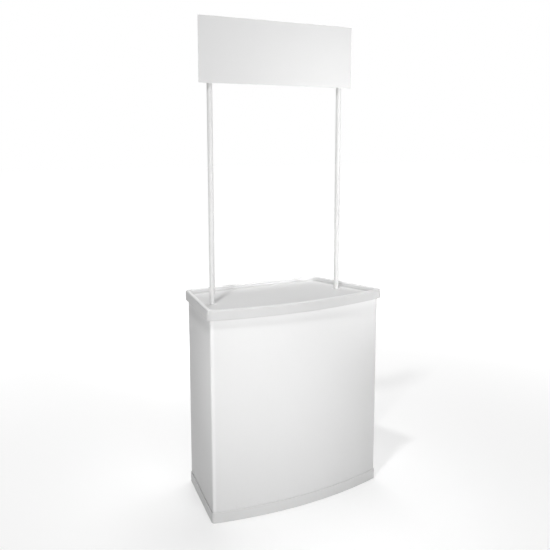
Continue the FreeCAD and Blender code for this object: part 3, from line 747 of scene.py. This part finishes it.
shelf_corners_mm = [(-13, 452), (-9, 452), (-9, 437), (-6, 437), (-6, 455), (-11, 455)]
shelf_rounds_mm = [0, 1, 0.8, 0.8, 2, 0]
shelf_skin = carried(rounded(shelf_corners_mm, shelf_rounds_mm) * mm, shelf_corner, shelf_corner)
boss_corners = [(boss_bore, shelf_top), (boss_bore, shelf_low), (boss_radius, shelf_low),
                (boss_radius, shelf_under)]
boss_profile = rounded(boss_corners, np.array([0, 0.5, 0.8, 0]) * mm)
shelf_shell = [
    grid_skin(shelf_skin, round_columns=True),
    plate(shelf_skin[-1, :, :2], post_circles(boss_bore), shelf_top, faces_up=True),
    plate(shelf_skin[0, :, :2], post_circles(boss_radius), shelf_under, faces_up=False),
    *at_posts(boss_profile),
]


def shelf_wear(place):
    """Slight rubbing all over the top from stock that is slid in and out."""
    streaks = place.stretched(1, 0.1, 1).noise(60, 3).between(0.5, 0.75)
    return place.axis("Z").between(shelf_rub_low, shelf_top) * streaks * 0.12


shelf = new_piece("moulded_shelf", [shelf_shell] + cross_ribs(shelf_under, shelf_rib_low, shelf_rib_end),
                  moulded_plastic("shelf_moulding", base_white, base_shade, shelf_wear))
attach(shelf, "loose_shelf")
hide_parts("shelf")

# Tray: the tabletop, moulded in one piece with a sunk floor, a raised rim that turns down into a deep skirt,
# ribs underneath and a boss for each pole. It drops over the sheet and is lifted off along the poles.
tray_floor = 861 * mm
tray_under = 858 * mm
tray_boss_low = 828 * mm
tray_boss_radius = 17.4 * mm
tray_boss_bore = 13.9 * mm
seat_radius = 19.7 * mm
seat_floor = 859.5 * mm
tray_rib_low = 845 * mm
tray_rib_end = -13 * mm
long_rib_half = 284.5 * mm
tray_offsets_mm = [-13, -1, 8.5, 13.5]
tray_bends_mm = [19, 31, 17, 22]
tray_back_bends_mm = [19, 31, 30, 35]
foot_dust_rise = (861.2 * mm, 862.5 * mm)
foot_dust_fall = (869 * mm, 863 * mm)
rim_touch_rise = (879 * mm, 881.5 * mm)
sink_half = 5 * mm
rim_light_rise = (864 * mm, 871 * mm)
rim_light_reach = (11 * mm, 5 * mm)
tray_white = (0.565, 0.565, 0.565, 1)
tray_shade = (0.545, 0.545, 0.543, 1)


def tray_corner(offset):
    """The radius of the tray's front corners at an offset from the plan."""
    return np.interp(offset / mm, tray_offsets_mm, tray_bends_mm) * mm


def tray_back_corner(offset):
    """The radius of the tray's back corners at an offset from the plan."""
    return np.interp(offset / mm, tray_offsets_mm, tray_back_bends_mm) * mm


tray_corners_mm = [(-14, 858), (-3, 858), (-3, 879), (10.5, 879), (10.5, 842), (13.5, 842), (13.5, 882),
                   (-6, 882), (-6, 861), (-17, 861)]
tray_rounds_mm = [0, 9, 1.5, 2, 1, 1, 5, 5, 7, 0]
tray_skin = carried(rounded(tray_corners_mm, tray_rounds_mm, 9) * mm, tray_corner, tray_back_corner)
pole_boss_corners = [(seat_radius, tray_floor), (seat_radius, seat_floor), (tray_boss_bore, seat_floor),
                     (tray_boss_bore, tray_boss_low), (tray_boss_radius, tray_boss_low),
                     (tray_boss_radius, tray_under)]
pole_boss_profile = rounded(pole_boss_corners, np.array([0, 0.2, 0.2, 0.5, 0.8, 0]) * mm)
tray_shell = [
    grid_skin(tray_skin, round_columns=True),
    plate(tray_skin[-1, :, :2], post_circles(seat_radius), tray_floor, faces_up=True),
    plate(tray_skin[0, :, :2], post_circles(tray_boss_radius), tray_under, faces_up=False),
    *at_posts(pole_boss_profile),
]
long_section = box_section((-long_rib_half, long_rib_half), (tray_rib_low, tray_under + rib_let_in))
long_rib = risen(long_section, post_y - rib_half, post_y + rib_half, "y")


def tray_wear(place):
    """A little dust in the foot of the rim and finger marks on its top."""
    height = place.axis("Z")
    dusty = height.between(*foot_dust_rise) * height.between(*foot_dust_fall) * 0.16
    touched = height.between(*rim_touch_rise) * place.noise(30, 3).between(0.5, 0.7) * 0.06
    return dusty + touched


def tray_sinks(place):
    """Slight hollows in the floor over the ribs, where the thicker plastic shrank."""
    along = place.axis("X") + rib_pitch / 2
    off = along.sum("ABSOLUTE", along.sum("FLOORED_MODULO", along, rib_pitch) - rib_pitch / 2, 0.0)
    return off.between(sink_half, 0) * 0.6


def rim_painted_light(place):
    """Painted light on the top and the inner wall of the rim, which are made lighter than the floor and the
    skirt.

    A point lies as far outside the plan as the greatest of its distances beyond the front arc, the sides
    and the back.
    """
    x = place.axis("X")
    y = place.axis("Y")
    from_centre = y - bow_centre_y
    beyond_bow = x.sum("POWER", x * x + from_centre * from_centre, 0.5) - bow_radius
    beyond_side = (x.sum("ABSOLUTE", x, 0.0) - half_front + side_slope * (y - fold_y)) * (1 / side_secant)
    outside = x.sum("MAXIMUM", x.sum("MAXIMUM", beyond_bow, beyond_side), y - back_y)
    return place.axis("Z").between(*rim_light_rise) * outside.between(*rim_light_reach)


tray_ribs = [[long_rib]] + cross_ribs(tray_under, tray_rib_low, tray_rib_end)
tray = new_piece("moulded_tray", [tray_shell] + tray_ribs,
                 moulded_plastic("tray_moulding", tray_white, tray_shade, tray_wear, tray_sinks, rim_painted_light))
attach(tray, "tabletop")
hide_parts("tray")

# Pole bushes: two flanged white nylon sleeves pressed into the bosses of the tray from above, with the flange
# let in flush with the floor. The poles pass through them.
bush_corners_mm = [(11.3, 828), (13.6, 828), (13.6, 859.5), (19.4, 859.5), (19.4, 861), (11.3, 861)]
bush_rounds_mm = [0.4, 0.6, 0.2, 0.2, 0.5, 0.6]
bush_profile = rounded(bush_corners_mm, bush_rounds_mm, 4, closed=True) * mm
for side, name in side_names.items():
    sleeve = turned(bush_profile, (side * post_x, post_y, 0), ring=True)
    bush = new_piece("flanged_bush_" + name, [[sleeve]], nylon)
    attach(bush, "tabletop")
    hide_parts("pole_bush_" + name)

# Poles: two coated steel tubes like the posts, that stand on the posts and carry the header board. A nylon
# spigot is pressed into the lower end of each and drops into its post.
pole_high = 1985 * mm
bush_rub_fall = (950 * mm, 870 * mm)
spigot_corners_mm = [(0, 817), (6.2, 817), (9.2, 820), (9.2, 889), (0, 889)]
spigot_profile = rounded(spigot_corners_mm, [0, 0.4, 0.8, 0.4, 0]) * mm


def pole_rub(place):
    """Marks just above the tray, where the bush slides."""
    return 0.22 * place.axis("Z").between(*bush_rub_fall)


pole_coat = coated_steel("pole_coat", pole_rub)
for side, name in side_names.items():
    pole = new_piece("pole_tube_" + name, [tube(post_high, pole_high, side * post_x)], pole_coat)
    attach(pole, "header_set")
    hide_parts("pole_" + name)
    spigot = new_piece("spigot_" + name, [[turned(spigot_profile, (side * post_x, post_y, 0))]], nylon)
    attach(spigot, "header_set")
    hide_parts("pole_spigot_" + name)

# Pole caps: two white nylon plugs that close the upper ends of the poles. Each has a slightly domed head as
# wide as the tube, and a stem that is pressed into it.
cap_corners_mm = [(0, 1971), (8.2, 1971), (9.2, 1972.5), (9.2, 1985), (11, 1985), (11, 1986.3), (6, 1987),
                  (0, 1987)]
cap_rounds_mm = [0, 0.3, 0.5, 0, 0.2, 0.6, 4, 0]
cap_profile = rounded(cap_corners_mm, cap_rounds_mm, 4) * mm
for side, name in side_names.items():
    cap = new_piece("tube_cap_" + name, [[turned(cap_profile, (side * post_x, post_y, 0))]], nylon)
    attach(cap, "header_set")
    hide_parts("pole_cap_" + name)

# Header clips: four white nylon clips behind the header board. Each is a flat plate with an open ring that
# snaps on the pole from the front.
clip_radius = 13.3 * mm
clip_bore = 11.3 * mm
clip_plate_half = 18 * mm
clip_plate_back = -9.3 * mm
clip_mouth_half = 8.5 * mm
clip_half = 15 * mm
clip_plate_round = 1 * mm
clip_heights = {"lower": 1794 * mm, "upper": 1952 * mm}
mouth_way = math.degrees(math.acos(clip_mouth_half / clip_radius))
bore_way = math.degrees(math.acos(clip_mouth_half / clip_bore))
plate_way = math.degrees(math.asin(clip_plate_back / clip_radius))
clip_line = np.concatenate([
    spokes(clip_radius, 180 - mouth_way, 180 - plate_way, 16),
    [(-clip_plate_half, clip_plate_back), (-clip_plate_half, -clip_radius)],
    [(clip_plate_half, -clip_radius), (clip_plate_half, clip_plate_back)],
    spokes(clip_radius, plate_way, mouth_way, 16),
    spokes(clip_bore, bore_way, -180 - bore_way, 40),
])
clip_rounds = np.where(np.isclose(abs(clip_line[:, 0]), clip_plate_half), clip_plate_round, 0)
clip_section = rounded(clip_line, clip_rounds, 4, closed=True)
for side, name in side_names.items():
    for level, height in clip_heights.items():
        body = risen(clip_section + [side * post_x, post_y], height - clip_half, height + clip_half)
        clip = new_piece("snap_clip_%s_%s" % (name, level), [[body]], nylon)
        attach(clip, "header_set")
        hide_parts("header_clip_%s_%s" % (name, level))

# Clip tapes: four pads of thin white foam tape, cut to the size of the clip plates. They stick the plates to
# the back of the header board.
tape_front = -6.1 * mm
tape_back = -5.3 * mm
tape_edge = 0.15 * mm
foam_white = (0.76, 0.76, 0.74, 1)
foam_shade = (0.60, 0.60, 0.58, 1)
foam, place, shader = start_material("foam_tape")
cells = place.node("ShaderNodeTexVoronoi", {}, {"Vector": place, "Scale": 2600.0}, output="Distance")
place.feed(shader, {
    "Base Color": cells.tint(foam_shade, foam_white),
    "Roughness": 0.7 + 0.2 * place.noise(600, 3),
    "Normal": relief(cells, 0.05 * mm),
})
tape_sections = [box_section((side * post_x - clip_plate_half, side * post_x + clip_plate_half),
                             (height - clip_half, height + clip_half))
                 for side in side_names for height in clip_heights.values()]
tape_shells = [[risen(section, tape_front, tape_back, "y", tape_edge)] for section in tape_sections]
tapes = new_piece("foam_tapes", tape_shells, foam)
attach(tapes, "header_set")
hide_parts("clip_tapes")

# Header board: a plain white plastic board, sawn to size with its edges broken, held in front of the poles by
# the clips. Its face is matt and left blank.
header_half = 362.05 * mm
header_low = 1746 * mm
header_high = 2000 * mm
header_front = -8.6 * mm
header_corner = 2 * mm
header_edge = 0.4 * mm
handled_fall = (1775 * mm, 1748 * mm)
board_white = (0.69, 0.69, 0.69, 1)
board_shade = (0.67, 0.67, 0.67, 1)
header_corners = box_section((-header_half, header_half), (header_low, header_high))
header_section = rounded(header_corners, header_corner, 5, closed=True)
board, place, shader = start_material("header_board_white")
cloud = place.noise(4, 3)
grain = place.noise(900, 3)
handled = place.axis("Z").between(*handled_fall) * place.noise(40, 4, 0.6).between(0.52, 0.75) * 0.08
place.feed(shader, {
    "Base Color": handled.tint((0.7 * cloud + 0.3 * grain).tint(board_shade, board_white), scuff_grey),
    "Roughness": 0.46 + 0.1 * cloud + 0.06 * grain,
    "Normal": relief(grain, 0.015 * mm),
})
header_body = risen(header_section, header_front, tape_front, "y", header_edge)
header = new_piece("blank_header", [[header_body]], board)
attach(header, "header_set")
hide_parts("header_board")

# Studio: a white seamless floor that is lit from below, so shadows on it stay faint, and a white backdrop.
# Soft lights stand in front, high on the left, above, behind and beside the left wall of the counter.
floor_half = 30.0
floor_white = (0.55, 0.55, 0.55, 1)
floor_shade = (0.54, 0.54, 0.54, 1)
near_glow = (0.45, 0.45, 0.45, 1)
far_glow = (1, 1, 1, 1)
glow_reach = (0.6, 4)
backdrop_white = (1, 1, 1, 1)
surround = 0.01
backdrop = 1.0
floor_mesh = bpy.data.meshes.new("studio_floor")
floor_corners = np.array([(-1, -1, 0), (1, -1, 0), (1, 1, 0), (-1, 1, 0)]) * floor_half
floor_mesh.from_pydata(floor_corners.tolist(), [], [(0, 1, 2, 3)])
paper, place, shader = start_material("studio_paper")
fibre = place.noise(300, 4, 0.6)
distance = place.node("ShaderNodeVectorMath", {"operation": "LENGTH"}, {0: place}, output="Value")
place.feed(shader, {
    "Base Color": place.noise(1.5, 3).tint(floor_shade, floor_white),
    "Roughness": 0.75 + 0.15 * fibre,
    "Normal": relief(fibre, 0.05 * mm),
    "Emission Color": distance.between(*glow_reach).tint(near_glow, far_glow),
    "Emission Strength": 1.0,
})
floor_mesh.materials.append(paper)
floor = bpy.data.objects.new("studio_floor", floor_mesh)
bpy.context.scene.collection.objects.link(floor)

world = bpy.data.worlds.new("studio")
world.use_nodes = True
air = Field(world.node_tree)
seen = air.node("ShaderNodeLightPath", {}, {}, output="Is Camera Ray")
brightness = surround + (backdrop - surround) * seen
air.feed(world.node_tree.nodes["Background"], {"Color": backdrop_white, "Strength": brightness})
bpy.context.scene.world = world


def soft_light(name, place, aim, size, spread, power):
    """A square soft light at a place, turned to a point, its beam narrowed to spread degrees."""
    lamp = bpy.data.lights.new(name, "AREA")
    lamp.size = size
    lamp.spread = math.radians(spread)
    lamp.energy = power
    holder = bpy.data.objects.new(name, lamp)
    holder.location = place
    holder.rotation_euler = (Vector(aim) - Vector(place)).to_track_quat("-Z", "Y").to_euler()
    holder.visible_camera = False
    bpy.context.scene.collection.objects.link(holder)


soft_light("key_light", place=(-0.8, -2.0, 1.45), aim=(0, -0.2, 0.75), size=0.9, spread=78, power=3.7)
soft_light("front_light", place=(-0.3, -2.4, 1.3), aim=(-0.07, -0.2, 0.44), size=0.9, spread=50, power=1.78)
soft_light("high_light", place=(-1.58, -1.39, 4.83), aim=(0, 0, 0.86), size=0.28, spread=180, power=95.0)
soft_light("top_light", place=(0.5, 0.6, 3.4), aim=(0.1, 0.1, 0.86), size=1.4, spread=180, power=59.0)
soft_light("header_light", place=(1.0, -1.2, 1.3), aim=(0.25, 0, 1.78), size=0.5, spread=60, power=1.62)
soft_light("right_light", place=(1.0, -1.9, 1.3), aim=(0.45, -0.17, 0.93), size=0.4, spread=18, power=0.27)
soft_light("side_light", place=(-1.15, 0, 0.7), aim=(-0.37, -0.45, 0.55), size=0.25, spread=76, power=0.38)
soft_light("back_light", place=(0.9, 2.8, 0.45), aim=(0, 0.2, 0.5), size=0.7, spread=100, power=7.0)

# Camera: it stands where the photo was taken from, in front of the counter and to its left, at eye height. It
# looks slightly down, and a small shift puts the counter where the photo has it.
sensor_width = 36.0
focal_length = 49.3
frame_shift = -0.03455
camera_place = (-1.6231, -2.7251, 1.5489)
camera_tilt = 0.1604
camera_turn = -0.5331
lens = bpy.data.cameras.new("camera")
lens.sensor_width = sensor_width
lens.lens = focal_length
lens.shift_y = frame_shift
camera = bpy.data.objects.new("camera", lens)
camera.location = camera_place
camera.rotation_euler = (math.pi / 2 - camera_tilt, 0, camera_turn)
bpy.context.scene.collection.objects.link(camera)
bpy.context.scene.camera = camera
bpy.context.scene.view_settings.view_transform = "Standard"
